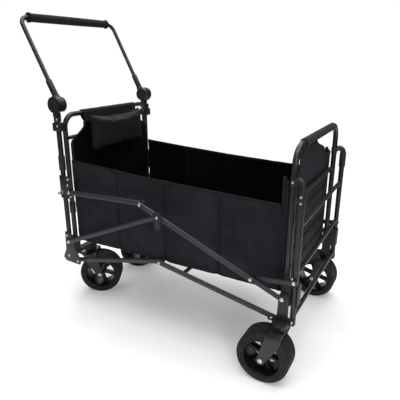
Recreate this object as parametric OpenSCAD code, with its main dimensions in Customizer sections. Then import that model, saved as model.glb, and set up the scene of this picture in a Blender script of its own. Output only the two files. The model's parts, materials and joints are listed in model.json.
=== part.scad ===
// Folding wagon with a tilting, telescoping push handle.
// +X is the front, -Y the right-hand side, +Z up; the origin is on the floor
// under the middle of the wagon's outer box. The wagon is drawn open.

/* [Frame] */
// Distance between the rear and the front inner frame
frame_gap = 890; // [880:1:900]
// Half the width between the uprights of an inner frame, to the tube centres
frame_half_w = 255; // [250:1:258]
// Height of the rear top bar
rear_top_z = 788; // [780:1:794]
// Height of the front top bar
front_top_z = 755; // [740:1:770]
// Outer radius of the frame tubes
tube_r = 9.5; // [9:0.5:10]

/* [Handle] */
// Height of the handle's tilt hinge
hub_z = 828; // [824:1:832]
// Distance from the tilt hinge to the middle of the grip
handle_len = 346; // [330:1:360]
// Half the distance between the handle's arms
arm_half_w = 258; // [256:1:259]
// Radius of the handle's arms
arm_r = 8; // [7:0.5:8.5]
// Radius of the foam grip
grip_r = 15.5; // [13:0.5:17]
// Half the length of the foam grip
grip_half_l = 218; // [190:1:222]
// How far the arms slide into their sleeves
extend_travel = 24; // [20:1:24]

/* [Wheels] */
// Outer radius of the tyres
wheel_r = 88; // [86:1:90]
// Width of the tyres
wheel_w = 86; // [80:1:87]
// Distance from a caster's stem to its axle
trail = 40; // [36:1:42]
// Half the distance between the stems of the front casters
front_stem_y = 304; // [300:1:306]
// Half the distance between the stems of the rear casters
rear_stem_y = 138; // [137:1:142]
// Resting angle of the rear casters about their stems
rear_steer = 30; // [0:1:35]

/* [Side links] */
// Height of the two main link pivots on the end frames
link_low_z = 290; // [285:1:300]
// Height of the middle pivot of the main links
link_mid_z = 480; // [470:1:490]
// Distance from the middle pivot to the upper link's pivot
upper_off = 82; // [76:1:88]
// Distance from the middle pivot to the stay's pin
stay_off = 372; // [364:1:378]
// Height of a link's section
link_h = 19; // [17:0.5:20]
// Thickness of a link's section
link_t = 11.5; // [10:0.5:11.5]

/* [Basket] */
// Height of the basket's floor
floor_z = 290; // [288:1:296]
// Height of the side walls at the rear
hem_rear_z = 618; // [600:1:625]
// Height of the side walls at the front
hem_front_z = 578; // [570:1:600]
// Thickness of the fabric
cloth_t = 3; // [2:0.5:3]

/* [Hidden] */
$fn = 48;

// Main stations along X. The grip overhangs the rear as far as the
// front tyres reach ahead, so the outer box is centred on the origin.
front_x = 517;
rear_x = front_x - frame_gap;
stem_front_x = front_x;
stem_rear_x = rear_x - 32;
reach_x = stem_front_x - trail + wheel_r;
grip_flange_r = grip_r + 3;
outer_rear_x = rear_x - 18;
outer_front_x = front_x + 31;
hub_x = rear_x - 13;
handle_tilt = asin((reach_x - grip_flange_r + hub_x) / handle_len);

// Layers across the wagon, as distances from the middle plane
outer_y = 270;
plate_y0 = outer_y + tube_r;
plate_t = 4;
plate_y1 = plate_y0 + plate_t;
layer_a = plate_y1 + 0.6;
layer_b = layer_a + link_t + 1;
rail_in_y = 254.6;
rail_t = 11.2;
rail_out_y = rail_in_y + rail_t + 0.8;

// Tubes, pins and running clearance
clear_r = 0.06;
pin_r = 4;
axle_r = 5;
stem_r = 8;
frame_bend_r = 48;
front_bend_r = 60;
bar_r = 7.5;
handle_bend_r = 34;

// Tilt hinges: the turning hub lies inside the base
hub_turn_y0 = arm_half_w - 9;
hub_base_y0 = arm_half_w + 14.2;
hub_base_y1 = hub_base_y0 + 16;
hub_pin_r = 7;
outer_top_z = hub_z - 32;

// Stations along the handle's arms, from the tilt hinge
sleeve_r = 11.5;
sleeve_t0 = 28;
sleeve_t1 = 95;
arm_end_t = 62;
button_t = 80;
button_r = 3.5;

// Heights of the casters' parts
crown_z = wheel_r * 2 + 4;
crown_t = 5;
housing_z = crown_z + crown_t + 1;
housing_h = 25;
housing_r = 20;
housing_top_r = 25;
beam_h = 16;
beam_w = 26;
block_rear_z = housing_z + housing_h + beam_h;
block_front_z = 262;
block_floor = 12;
plate_low_z = 196;
outer_front_top_z = 640;
block_h = 70;
fork_in = wheel_w / 2 + 3.5;
fork_t = 4;
front_turn = 0;
rear_turn = 180 + rear_steer;
brake_pivot = [34, crown_z - 4];
brake_pin_r = 3;

// Main side links: two equal links that meet over the middle of the
// wagon, so the front frame moves level as they fold
rear_pivot_x = rear_x - 1;
front_pivot_x = front_x + 1;
mid_x = (rear_pivot_x + front_pivot_x) / 2;
half_span = (front_pivot_x - rear_pivot_x) / 2;
link_rise = link_mid_z - link_low_z;
link_len = sqrt(half_span * half_span + link_rise * link_rise);
link_ang = atan2(link_rise, half_span);
fold_deg = 50;
fold_ang = link_ang + fold_deg;
fold_shift = 2 * link_len * (cos(link_ang) - cos(fold_ang));

// Upper link: its rear pivot lies where both ends of the fold
// give the link the same length
upper_open = [mid_x - upper_off * cos(link_ang), link_mid_z + upper_off * sin(link_ang)];
mid_fold = [rear_pivot_x + link_len * cos(fold_ang), link_low_z + link_len * sin(fold_ang)];
upper_fold = [mid_fold[0] - upper_off * cos(fold_ang), mid_fold[1] + upper_off * sin(fold_ang)];
upper_x = rear_x + 26;
upper_z = (upper_fold * upper_fold - upper_open * upper_open
    - 2 * upper_x * (upper_fold[0] - upper_open[0]))
    / (2 * (upper_fold[1] - upper_open[1]));
upper_len = norm(upper_open - [upper_x, upper_z]);
upper_ang = atan2(upper_open[1] - upper_z, upper_open[0] - upper_x);

// Bottom rails: pivots on the end frames and a middle pin
rail_rear = [rear_x + 28, 205];
rail_front = [front_x - 35, 205];
rail_mid = [50, 291];
rail_rear_len = norm(rail_mid - rail_rear);
rail_front_len = norm(rail_front - rail_mid);
rail_rear_ang = atan2(rail_mid[1] - rail_rear[1], rail_mid[0] - rail_rear[0]);
rail_front_ang = atan2(rail_front[1] - rail_mid[1], rail_front[0] - rail_mid[0]);
rail_cross_off = 100;

// Stay on the front frame, whose notch takes the long link's pin
stay_root = [outer_front_x, 349];
stay_pin = [mid_x + stay_off * cos(link_ang), link_mid_z - stay_off * sin(link_ang)];
stay_len = norm(stay_root - stay_pin);
stay_ang = atan2(stay_pin[1] - stay_root[1], stay_pin[0] - stay_root[0]);

// Basket
wall_y = 250;
wall_rear_x = rear_x + tube_r + 3;
wall_front_x = front_x - tube_r - 5;
corner_x = front_x - 32;
corner_z = 664;
front_wall_z = 650;

// ---- helpers ----

// Draws its children on the right-hand side and mirrored on the left
module both_sides() {
    for (side = [1, 0])
        mirror([0, 1 - side, 0])
            mirror([0, 1, 0])
                children();
}

// Round bar along +Y from y0 to y1 at x, z
module y_bar(x, z, y0, y1, r) {
    translate([x, y0, z])
        rotate([-90, 0, 0])
            cylinder(r = r, h = y1 - y0);
}

// Ring along +Y, with a bore
module y_ring(x, z, y0, y1, r, bore) {
    difference() {
        y_bar(x, z, y0, y1, r);
        y_bar(x, z, y0 - 1, y1 + 1, bore);
    }
}

// Rivet along +Y: a shank under a low domed head
module rivet(x, z, y0, y1, r = 3, head_r = 5.5, head_h = 2.2) {
    translate([x, y0, z])
        rotate([-90, 0, 0])
            rotate_extrude()
                polygon([[0, 0], [r, 0], [r, y1 - y0], [head_r, y1 - y0],
                    [head_r * 0.86, y1 - y0 + head_h * 0.7], [head_r * 0.5, y1 - y0 + head_h],
                    [0, y1 - y0 + head_h]]);
}

// Upside-down U of round tube in the YZ plane, open at the bottom
module u_tube(half_w, top_z, bottom_z, r, bend_r) {
    for (side = [0, 1])
        mirror([0, side, 0]) {
            translate([0, half_w, bottom_z])
                cylinder(r = r, h = top_z - bend_r - bottom_z);
            translate([0, half_w - bend_r, top_z - bend_r])
                rotate([90, 0, 90])
                    rotate_extrude(angle = 90)
                        translate([bend_r, 0])
                            circle(r = r);
        }
    translate([0, bend_r - half_w, top_z])
        rotate([-90, 0, 0])
            cylinder(r = r, h = 2 * (half_w - bend_r));
}

// Flat-sided link tube from the pivot at the origin to [len, 0, 0]; it lies from
// y0 to y0 + t, turned by ang about the pivot at x, z, with a bore at each hole
module link_tube(x, z, ang, from, len, y0, h, t, holes, hole_r) {
    translate([x, y0, z])
        rotate([0, -ang, 0])
            difference() {
                union() {
                    translate([from, 0, -h / 2 + t / 2])
                        cube([len - from, t, h - t]);
                    for (zz = [-1, 1])
                        translate([from, t / 2, zz * (h - t) / 2])
                            rotate([0, 90, 0])
                                cylinder(r = t / 2, h = len - from);
                }
                for (at = holes)
                    translate([at, -1, 0])
                        rotate([-90, 0, 0])
                            cylinder(r = hole_r, h = t + 2);
            }
}

// Plate in the XZ plane from y0, with an outline and round bores
module side_plate(outline, y0, t, bores) {
    translate([0, y0 + t, 0])
        rotate([90, 0, 0])
            linear_extrude(t)
                difference() {
                    polygon(outline);
                    for (b = bores)
                        translate([b[0], b[1]])
                            circle(r = b[2]);
                }
}

// Places its children in the tilted handle's frame, hinge at the origin
module in_handle() {
    translate([hub_x, 0, hub_z])
        rotate([0, -handle_tilt, 0])
            children();
}

// Places its children at a caster: stem on the Z axis, wheel behind it in -X,
// turned by ang about the stem
module at_caster(x, y, ang) {
    translate([x, y, 0])
        rotate([0, 0, ang])
            children();
}

// ---- rear frame ----

module rear_inner_frame() {
    color("#26272b")
        translate([rear_x, 0, 0])
            u_tube(frame_half_w, rear_top_z, block_rear_z + block_floor, tube_r, frame_bend_r);
}

module rear_crossbar() {
    bar_z = 702;
    bar_y = frame_half_w - tube_r + 2;
    color("#26272b")
        y_bar(rear_x, bar_z, -bar_y, bar_y, bar_r);
}

module rear_outer_tubes() {
    color("#26272b")
        both_sides()
            translate([outer_rear_x, outer_y, block_rear_z])
                cylinder(r = tube_r, h = outer_top_z - block_rear_z);
}

module rear_lower_beam() {
    color("#1b1b1d")
        translate([stem_rear_x - beam_w / 2, -plate_y0, housing_z + housing_h])
            cube([beam_w, 2 * plate_y0, beam_h]);
}

// Plastic block that joins an inner upright and an outer tube at the bottom
module lower_block(x0, x1, z0, upright_x, tube_x) {
    y0 = frame_half_w - tube_r - 3;
    difference() {
        translate([x0, y0, z0])
            cube([x1 - x0, plate_y0 - y0, block_h]);
        translate([upright_x, frame_half_w, z0 + block_floor])
            cylinder(r = tube_r, h = block_h);
        translate([tube_x, outer_y, z0 - 1])
            cylinder(r = tube_r, h = block_h + 2);
        translate([tube_x - tube_r, outer_y, z0 - 1])
            cube([2 * tube_r, tube_r + 1, block_h + 2]);
    }
}

module rear_lower_blocks() {
    color("#141517")
        both_sides()
            lower_block(outer_rear_x - 13, rear_x + tube_r + 2.4, block_rear_z,
                rear_x, outer_rear_x);
}

module rear_side_plates() {
    low = [[stem_rear_x - 16, 212], [stem_rear_x - 4, 196], [rail_rear[0] + 8, 192],
        [rail_rear[0] + 14, 200], [rail_rear[0] + 14, 214], [rear_pivot_x + 16, 276],
        [rear_pivot_x + 16, 312], [rear_x - 6, 326], [outer_rear_x - 10, 326],
        [outer_rear_x - 12, 250]];
    high = [[outer_rear_x - 9, 470], [rear_x + 6, 470], [upper_x + 11, upper_z - 26],
        [upper_x + 13, upper_z], [upper_x + 9, upper_z + 50], [upper_x - 6, upper_z + 60],
        [outer_rear_x - 9, upper_z + 60]];
    color("#1f2024")
        both_sides() {
            side_plate(low, plate_y0, plate_t,
                [[rear_pivot_x, link_low_z, pin_r], [rail_rear[0], rail_rear[1], pin_r]]);
            side_plate(high, plate_y0, plate_t,
                [[upper_x, upper_z, pin_r], [outer_rear_x, upper_z - 6, 5 + clear_r]]);
        }
}

module rear_rivets() {
    // Rivets stand on the plates and the hub brackets
    color("#c9ccd1")
        both_sides() {
            for (p = [[upper_x - 10, upper_z + 48], [upper_x - 14, upper_z + 24],
                    [upper_x - 2, upper_z - 19], [outer_rear_x, 310], [outer_rear_x + 2, 222]])
                rivet(p[0], p[1], plate_y1, plate_y1 + 0.4, 4, 5, 1.8);
            for (z = [750, 774])
                rivet(outer_rear_x + 10, z, outer_y + 16, outer_y + 16.4, 3.5, 4.5, 1.6);
        }
}

module hub_bases() {
    neck = [[-14, -44], [8, -44], [8, -14], [-14, -14]];
    // Disc outside the turning hub, on a socket over the outer tube, with the
    // hinge pin that the handle turns on
    color("#17181a")
        both_sides() {
            difference() {
                union() {
                    y_bar(hub_x, hub_z, hub_base_y0, hub_base_y1, 30);
                    y_bar(hub_x, hub_z, hub_turn_y0, hub_base_y0 + 1, hub_pin_r);
                    translate([outer_rear_x, outer_y, outer_top_z - 30])
                        cylinder(r = 13, h = 32);
                    translate([hub_x, hub_base_y0 + 10, hub_z])
                        rotate([90, 0, 0])
                            linear_extrude(10)
                                polygon(neck);
                }
                translate([outer_rear_x, outer_y, outer_top_z - 40])
                    cylinder(r = tube_r, h = 40);
                // Recessed ring in the outer face
                difference() {
                    y_bar(hub_x, hub_z, hub_base_y1 - 2, hub_base_y1 + 1, 25);
                    y_bar(hub_x, hub_z, hub_base_y1 - 3, hub_base_y1 + 2, 20);
                }
            }
        }
}

module hub_brackets() {
    // Plastic blocks that tie each outer tube to its inner upright
    color("#1d1e21")
        both_sides()
            difference() {
                union() {
                    translate([outer_rear_x - 13, outer_y - 11, 732])
                        cube([40, 27, 30]);
                    translate([outer_rear_x - 3, outer_y + 4, 732])
                        cube([22, 12, 51]);
                }
                translate([outer_rear_x, outer_y, 700])
                    cylinder(r = tube_r, h = 100);
                translate([outer_rear_x, outer_y, outer_top_z - 31])
                    cylinder(r = 13.4, h = 50);
                translate([rear_x, frame_half_w, 700])
                    cylinder(r = tube_r + 0.2, h = 100);
            }
}

module tube_sleeves() {
    // Plastic collars round the outer tubes and the inner uprights
    color("#141517")
        both_sides() {
            for (c = [[outer_rear_x, outer_y, 580, 56, 12.5], [rear_x, frame_half_w, 404, 44, 12]])
                translate([c[0], c[1], c[2]])
                    difference() {
                        cylinder(r = c[4], h = c[3]);
                        translate([0, 0, -1])
                            cylinder(r = tube_r, h = c[3] + 2);
                        if (c[0] == rear_x)
                            translate([outer_rear_x - rear_x, outer_y - frame_half_w, -1])
                                cylinder(r = tube_r + 0.3, h = c[3] + 2);
                    }
        }
}

module caster_housing(x, y) {
    difference() {
        translate([x, y, housing_z])
            cylinder(r1 = housing_r, r2 = housing_top_r, h = housing_h);
        translate([x, y, housing_z - 1])
            cylinder(r = stem_r + clear_r, h = housing_h - 4);
    }
}

module rear_caster_housings() {
    color("#141517")
        both_sides()
            caster_housing(stem_rear_x, rear_stem_y);
}

module link_pins_rear() {
    // Pins on the rear plates for the main, upper and bottom links
    color("#c9ccd1")
        both_sides() {
            for (p = [[rear_pivot_x, link_low_z], [upper_x, upper_z]])
                rivet(p[0], p[1], plate_y0, layer_a + link_t + 0.3, pin_r, 6.5, 2);
            y_bar(rail_rear[0], rail_rear[1], rail_in_y, plate_y1, pin_r);
        }
}

module lock_knob() {
    // Spring pin with a ribbed pull knob, through the upper side plate
    translate([outer_rear_x, plate_y0 + 0.2, upper_z - 6])
        rotate([-90, 0, 0])
            rotate_extrude()
                polygon([[0, 0], [5, 0], [5, plate_t + 1], [6.5, plate_t + 1], [6.5, 7],
                    [5.5, 8], [7, 10], [7, 20], [6, 22], [0, 22]]);
}

module lock_knob_right() {
    color("#c9ccd1")
        mirror([0, 1, 0])
            lock_knob();
}

module lock_knob_left() {
    color("#c9ccd1")
        lock_knob();
}

// ---- handle ----

module handle_hubs() {
    // Turning half of each tilt hinge, on the hub base's pin
    color("#1d1e21")
        in_handle()
            both_sides() {
                difference() {
                    union() {
                        y_bar(0, 0, hub_turn_y0, hub_base_y0 - 0.6, 28);
                        translate([0, arm_half_w, 14])
                            cylinder(r = 13.5, h = 22);
                    }
                    y_bar(0, 0, hub_turn_y0 - 1, hub_base_y0 + 1, hub_pin_r + clear_r);
                    translate([0, arm_half_w, sleeve_t0])
                        cylinder(r = sleeve_r, h = 40);
                }
            }
}

module handle_sleeves() {
    color("#17181a")
        in_handle()
            both_sides()
                difference() {
                    translate([0, arm_half_w, sleeve_t0])
                        cylinder(r = sleeve_r, h = sleeve_t1 - sleeve_t0);
                    translate([0, arm_half_w, sleeve_t0 + 4])
                        cylinder(r = arm_r + clear_r, h = sleeve_t1);
                    // Two button holes joined by a slot
                    for (t = [button_t - extend_travel, button_t])
                        y_bar(0, t, arm_half_w, arm_half_w + 20, button_r + 1);
                    translate([-button_r - 0.3, arm_half_w, button_t - extend_travel])
                        cube([2 * button_r + 0.6, 20, extend_travel]);
                }
}

module handle_tube() {
    color("#26272b")
        in_handle()
            difference() {
                u_tube(arm_half_w, handle_len, arm_end_t, arm_r, handle_bend_r);
                both_sides()
                    y_bar(0, button_t, arm_half_w - 4, arm_half_w + 20, button_r + clear_r);
            }
}

module handle_grip() {
    // Foam tube with a raised flange at each end
    color("#101012")
        in_handle()
            translate([0, -grip_half_l, handle_len])
                rotate([-90, 0, 0])
                    difference() {
                        union() {
                            cylinder(r = grip_r, h = 2 * grip_half_l);
                            for (y = [0, 2 * grip_half_l - 5])
                                translate([0, 0, y])
                                    cylinder(r = grip_flange_r, h = 5);
                        }
                        translate([0, 0, -1])
                            cylinder(r = arm_r, h = 2 * grip_half_l + 2);
                    }
}

module snap_button() {
    y_bar(0, button_t, arm_half_w, arm_half_w + sleeve_r + 0.8, button_r);
}

module snap_button_right() {
    color("#c9ccd1")
        in_handle()
            mirror([0, 1, 0])
                snap_button();
}

module snap_button_left() {
    color("#c9ccd1")
        in_handle()
            snap_button();
}

// ---- front frame ----

module front_inner_frame() {
    color("#26272b")
        translate([front_x, 0, 0])
            u_tube(frame_half_w, front_top_z, block_front_z + block_floor, tube_r, front_bend_r);
}

module front_crossbars() {
    inner_y = frame_half_w - tube_r + 2;
    outer_bar_y = outer_y - tube_r + 2;
    color("#26272b") {
        y_bar(front_x, 588, -inner_y, inner_y, bar_r);
        for (z = [526, 370, 226])
            y_bar(outer_front_x, z, -outer_bar_y, outer_bar_y, bar_r);
    }
}

module front_outer_tubes() {
    color("#26272b")
        both_sides()
            translate([outer_front_x, outer_y, plate_low_z])
                cylinder(r = tube_r, h = outer_front_top_z - plate_low_z);
}

module front_hooks() {
    // Plastic caps that curve from each outer tube over to its inner upright
    dx = outer_front_x - front_x;
    dy = outer_y - frame_half_w;
    gap = norm([dx, dy]);
    cap_z = 590;
    arch_z = 644;
    color("#17181a")
        both_sides()
            difference() {
                union() {
                    translate([outer_front_x, outer_y, cap_z])
                        cylinder(r = 12, h = arch_z - cap_z);
                    translate([front_x + dx / 2, frame_half_w + dy / 2, arch_z])
                        rotate([90, 0, atan2(dy, dx)])
                            rotate_extrude(angle = 150)
                                translate([gap / 2, 0])
                                    circle(r = 10);
                    translate([front_x, frame_half_w, arch_z - 4])
                        cylinder(r = tube_r + 1.4, h = 26);
                }
                translate([outer_front_x, outer_y, cap_z - 1])
                    cylinder(r = tube_r, h = outer_front_top_z + 1 - cap_z);
                translate([front_x, frame_half_w, cap_z])
                    cylinder(r = tube_r, h = 100);
            }
}

module front_side_plates() {
    lobe_r = 16;
    foot_x = rail_front[0] - 12;
    // Narrow upright with a lobe round the link's pivot, on a wide foot
    outline = concat([[foot_x, plate_low_z], [outer_front_x + 8, plate_low_z],
        [outer_front_x + 10, plate_low_z + 10], [outer_front_x + 8, plate_low_z + 22],
        [front_x + 18, plate_low_z + 26]],
        [for (a = [0:20:180])
            [front_pivot_x + lobe_r * cos(a), link_low_z + lobe_r * sin(a)]],
        [[front_x - 18, plate_low_z + 24], [foot_x, plate_low_z + 20]]);
    color("#1f2024")
        both_sides()
            side_plate(outline, plate_y0, plate_t, [[front_pivot_x, link_low_z, pin_r]]);
}

module front_lower_blocks() {
    color("#141517")
        both_sides()
            lower_block(front_x - tube_r - 1.2, outer_front_x + 12, block_front_z,
                front_x, outer_front_x);
}

module front_stays() {
    notch_w = 2 * pin_r + 2;
    stay_t = 8;
    boss_y = plate_y0 - 2;
    // Flat bar from the outer tube, with a notch that the long link's pin drops into
    color("#1f2024")
        both_sides()
            difference() {
                translate([stay_root[0], layer_a, stay_root[1]])
                    rotate([0, -stay_ang, 0])
                        union() {
                            translate([0, 0, -8])
                                cube([stay_len + 2, stay_t, 16]);
                            translate([0, boss_y - layer_a, 0])
                                rotate([-90, 0, 0])
                                    cylinder(r = 8.5, h = stay_t + layer_a - boss_y);
                            translate([stay_len, 0, 0])
                                rotate([-90, 0, 0])
                                    cylinder(r = 12, h = stay_t);
                        }
                y_bar(stay_pin[0], stay_pin[1], layer_a - 1, layer_a + 12, notch_w / 2);
                // The notch opens along the pin's path as the links fold
                translate([stay_pin[0], layer_a - 1, stay_pin[1]])
                    rotate([0, link_ang, 0])
                        translate([-notch_w / 2, 0, 0])
                            cube([notch_w, stay_t + 6, 30]);
            }
}

module front_rivets() {
    color("#c9ccd1")
        both_sides() {
            for (p = [[outer_front_x, plate_low_z + 10], rail_front])
                rivet(p[0], p[1], plate_y1, plate_y1 + 0.4, 4, 5, 1.8);
            rivet(stay_root[0], stay_root[1], layer_a + 8, layer_a + 8.4, 4, 6, 2);
            for (z = [600, 619])
                rivet(outer_front_x, z, 282, 282.4, 3, 4, 1.6);
            rivet(front_x, 654, 268, 268.4, 3, 4, 1.6);
        }
}

module front_caster_housings() {
    color("#141517")
        both_sides()
            union() {
                // Flat where it lies on the side plate
                difference() {
                    caster_housing(stem_front_x, front_stem_y);
                    translate([stem_front_x - 30, plate_y1 - 10, housing_z - 1])
                        cube([60, 10, housing_h + 2]);
                }
                difference() {
                    translate([stem_front_x - 24, plate_y1, housing_z])
                        cube([48, front_stem_y - plate_y1, housing_h]);
                    translate([stem_front_x, front_stem_y, housing_z - 1])
                        cylinder(r = 15, h = housing_h + 2);
                }
            }
}

module link_pins_front() {
    // Pins with a spacer, for the long links' front ends
    color("#c9ccd1")
        both_sides() {
            rivet(front_pivot_x, link_low_z, plate_y0, layer_b + 5.4, pin_r, 6.5, 2);
            y_ring(front_pivot_x, link_low_z, plate_y1, layer_b - 0.3, 8, pin_r);
        }
}

// ---- side links ----

module rear_links() {
    color("#26272b")
        both_sides() {
            link_tube(rear_pivot_x, link_low_z, link_ang, -12, link_len + 6, layer_a,
                link_h, link_t, [0], pin_r + clear_r);
            // Pin of the middle hub
            rivet(mid_x, link_mid_z, layer_a + 1, layer_b + link_t + 4.4, pin_r, 7, 2);
        }
}

module middle_hubs() {
    lobe = [[-16, -9], [16, -9], [8, -44], [0, -48], [-10, -44]];
    // Plastic cover over the joint of the two main links
    color("#121214")
        both_sides()
            difference() {
                union() {
                    y_bar(mid_x, link_mid_z, layer_b + link_t, layer_b + link_t + 4, 20);
                    translate([mid_x, layer_b + link_t + 3, link_mid_z])
                        rotate([90, 0, 0])
                            linear_extrude(3)
                                polygon(lobe);
                }
                y_bar(mid_x, link_mid_z, layer_a, layer_b + 40, pin_r + clear_r);
            }
}

module long_links() {
    color("#26272b")
        both_sides() {
            link_tube(mid_x, link_mid_z, -link_ang, -upper_off - 10, stay_off + 11, layer_b,
                link_h, link_t, [0], pin_r + clear_r);
            // Pin that drops into the stay's notch
            y_bar(stay_pin[0], stay_pin[1], layer_a + 0.4, layer_b + 2, pin_r);
        }
}

module link_tails() {
    tail_t = 4.6;
    // Flat bars from the long links' tubes to the front pivots
    color("#1f2024")
        both_sides()
            translate([mid_x, layer_b, link_mid_z])
                rotate([0, link_ang, 0])
                    difference() {
                        union() {
                            translate([stay_off + 11, 0, -8])
                                cube([link_len - stay_off - 11, tail_t, 16]);
                            translate([link_len, 0, 0])
                                rotate([-90, 0, 0])
                                    cylinder(r = 11, h = tail_t);
                        }
                        translate([link_len, -1, 0])
                            rotate([-90, 0, 0])
                                cylinder(r = pin_r + clear_r, h = tail_t + 2);
                    }
}

module upper_links() {
    color("#26272b")
        both_sides()
            link_tube(upper_x, upper_z, upper_ang, -11, upper_len - 10, layer_a,
                link_h, link_t, [0], pin_r + clear_r);
}

module upper_link_caps() {
    cap_r = link_h / 2 + 1.5;
    // Plastic end caps at the pivots with the long links
    color("#121214")
        both_sides()
            translate([upper_x, layer_a, upper_z])
                rotate([0, -upper_ang, 0]) {
                    translate([upper_len - 10, 0, -cap_r])
                        cube([14, link_t, 2 * cap_r]);
                    translate([upper_len + 4, 0, 0])
                        rotate([-90, 0, 0])
                            cylinder(r = cap_r, h = link_t);
                }
}

module rear_rails() {
    cross = rail_rear_len - rail_cross_off;
    color("#26272b") {
        both_sides() {
            link_tube(rail_rear[0], rail_rear[1], rail_rear_ang, -10, rail_rear_len + 10,
                rail_in_y, link_h, rail_t, [0], pin_r + clear_r);
            rivet(rail_mid[0], rail_mid[1], rail_in_y + 1, rail_out_y + rail_t + 0.3,
                pin_r, 5.5, 0.5);
        }
        y_bar(rail_rear[0] + cross * cos(rail_rear_ang), rail_rear[1] + cross * sin(rail_rear_ang),
            -rail_in_y - 1, rail_in_y + 1, 7);
    }
}

module front_rails() {
    color("#26272b") {
        both_sides()
            link_tube(rail_mid[0], rail_mid[1], rail_front_ang, -11, rail_front_len + 10,
                rail_out_y, link_h, rail_t, [0], pin_r + clear_r);
        y_bar(rail_mid[0] + rail_cross_off * cos(rail_front_ang),
            rail_mid[1] + rail_cross_off * sin(rail_front_ang),
            -rail_out_y - 1, rail_out_y + 1, 7);
    }
}

// ---- casters and wheels ----

module fork() {
    arm_r = 15;
    crown_x0 = -27;
    crown_x1 = 21;
    cylinder_z = crown_z + crown_t;
    // Broad arm that narrows to a round end at the axle
    arm = concat([[crown_x0, cylinder_z], [crown_x0 - 5, crown_z - 16]],
        [for (a = [195:20:355])
            [-trail + arm_r * cos(a), wheel_r + arm_r * sin(a)]],
        [[crown_x1 - 8, crown_z - 34], [crown_x1, crown_z - 12], [crown_x1, cylinder_z]]);
    translate([crown_x0, -fork_in - fork_t, crown_z])
        cube([crown_x1 - crown_x0, 2 * (fork_in + fork_t), crown_t]);
    for (y = [-fork_in - fork_t, fork_in])
        side_plate(arm, y, fork_t, [[-trail, wheel_r, axle_r + clear_r]]);
    translate([0, 0, cylinder_z - 0.5])
        cylinder(r = stem_r, h = housing_h - 5);
    axle_bolt();
}

module axle_bolt() {
    out = fork_in + fork_t;
    y_bar(-trail, wheel_r, -out - 1, out + 1, axle_r);
    for (side = [0, 1])
        mirror([0, side, 0])
            rivet(-trail, wheel_r, out, out + 0.1, axle_r, 8, 3);
}

module wheel_rim() {
    rim_r = wheel_r - 21;
    rim_half = wheel_w / 2 - 2;
    hub_half = fork_in - 1;
    // Barrel, hub and six spokes; the axle's bore runs through the hub
    translate([-trail, 0, wheel_r])
        rotate([90, 0, 0])
            difference() {
                union() {
                    rotate_extrude()
                        polygon([[rim_r - 7, -rim_half + 8], [rim_r - 3, -rim_half],
                            [rim_r, -rim_half], [rim_r, rim_half], [rim_r - 3, rim_half],
                            [rim_r - 7, rim_half - 8]]);
                    cylinder(r = 15, h = 2 * hub_half, center = true);
                    for (a = [0:60:300])
                        rotate([0, 0, a])
                            translate([12, -5, -15])
                                cube([rim_r - 17, 10, 30]);
                }
                cylinder(r = axle_r + clear_r, h = 3 * hub_half, center = true);
            }
}

module tyre() {
    inner_r = wheel_r - 21;
    half = wheel_w / 2;
    groove = 2.2;
    pitch = 10;
    groove_w = 3;
    count = 7;
    first = -pitch * (count - 1) / 2;
    tread = [for (i = [0:count - 1])
        for (p = [[0, -groove_w / 2], [-groove, -groove_w / 2 + 0.6],
                [-groove, groove_w / 2 - 0.6], [0, groove_w / 2]])
            [wheel_r + p[0], first + i * pitch + p[1]]];
    translate([-trail, 0, wheel_r])
        rotate([90, 0, 0])
            rotate_extrude()
                polygon(concat(
                    [[inner_r, half - 2], [inner_r, 2 - half], [inner_r + 3, -half],
                        [wheel_r - 9, -half], [wheel_r - 3, -half + 2.5],
                        [wheel_r, -half + 8]],
                    tread,
                    [[wheel_r, half - 8], [wheel_r - 3, half - 2.5], [wheel_r - 9, half],
                        [inner_r + 3, half]]));
}

module brake_pedal() {
    half_w = 19;
    lever = [[24, crown_z - 24], [29, crown_z - 26], [38, crown_z - 12], [50, crown_z - 4],
        [72, crown_z + 4], [78, crown_z + 2], [80, crown_z + 6], [72, crown_z + 12],
        [48, crown_z + 4], [34, crown_z + 3], [27, crown_z]];
    // Foot lever behind the crown, on a cross pin between two lugs
    difference() {
        side_plate(lever, -half_w, 2 * half_w, []);
        y_bar(brake_pivot[0], brake_pivot[1], -30, 30, brake_pin_r + clear_r);
    }
}

module brake_lugs() {
    lug = [[20.5, crown_z + crown_t], [20.5, crown_z - 9], [32, crown_z - 11],
        [40, crown_z - 7], [40, crown_z - 1], [34, crown_z + crown_t]];
    for (y = [-23.4, 19.4])
        side_plate(lug, y, 4, []);
    y_bar(brake_pivot[0], brake_pivot[1], -21, 21, brake_pin_r);
}

module fork_front_right() {
    color("#26262e")
        at_caster(stem_front_x, -front_stem_y, front_turn)
            fork();
}

module fork_front_left() {
    color("#26262e")
        at_caster(stem_front_x, front_stem_y, front_turn)
            fork();
}

module fork_rear_right() {
    color("#26262e")
        at_caster(stem_rear_x, -rear_stem_y, rear_turn) {
            fork();
            brake_lugs();
        }
}

module fork_rear_left() {
    color("#26262e")
        at_caster(stem_rear_x, rear_stem_y, rear_turn) {
            fork();
            brake_lugs();
        }
}

module wheel_front_right() {
    color("#111113")
        at_caster(stem_front_x, -front_stem_y, front_turn)
            wheel_rim();
}

module wheel_front_left() {
    color("#111113")
        at_caster(stem_front_x, front_stem_y, front_turn)
            wheel_rim();
}

module wheel_rear_right() {
    color("#111113")
        at_caster(stem_rear_x, -rear_stem_y, rear_turn)
            wheel_rim();
}

module wheel_rear_left() {
    color("#111113")
        at_caster(stem_rear_x, rear_stem_y, rear_turn)
            wheel_rim();
}

module tyre_front_right() {
    color("#1a1a1a")
        at_caster(stem_front_x, -front_stem_y, front_turn)
            tyre();
}

module tyre_front_left() {
    color("#1a1a1a")
        at_caster(stem_front_x, front_stem_y, front_turn)
            tyre();
}

module tyre_rear_right() {
    color("#1a1a1a")
        at_caster(stem_rear_x, -rear_stem_y, rear_turn)
            tyre();
}

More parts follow.
